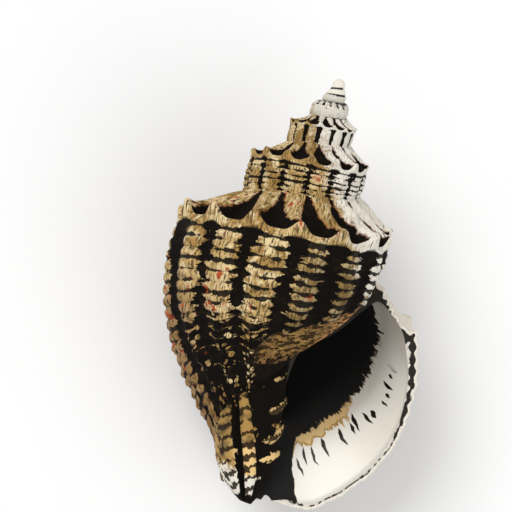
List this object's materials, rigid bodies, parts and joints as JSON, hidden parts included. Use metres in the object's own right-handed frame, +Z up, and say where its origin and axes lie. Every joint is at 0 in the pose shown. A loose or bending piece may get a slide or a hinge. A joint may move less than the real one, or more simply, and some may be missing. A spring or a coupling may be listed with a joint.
{
  "type": "murex shell",
  "caption": "Spiral sea shell with ribbed, spiny whorls, a flared lip and an open aperture, lying on its back.",
  "frame": {"origin": "middle of the shell's box at the surface it rests on, with the shell lying on its back", "axes": "+Y towards the apex, +X towards the outer lip, +Z up, the way the aperture faces"},
  "size_m": [0.0506, 0.079, 0.0453],
  "materials": {
    "shell": "satin"
  },
  "bodies": {
    "root": {"shell": "shell"}
  },
  "joints": []
}
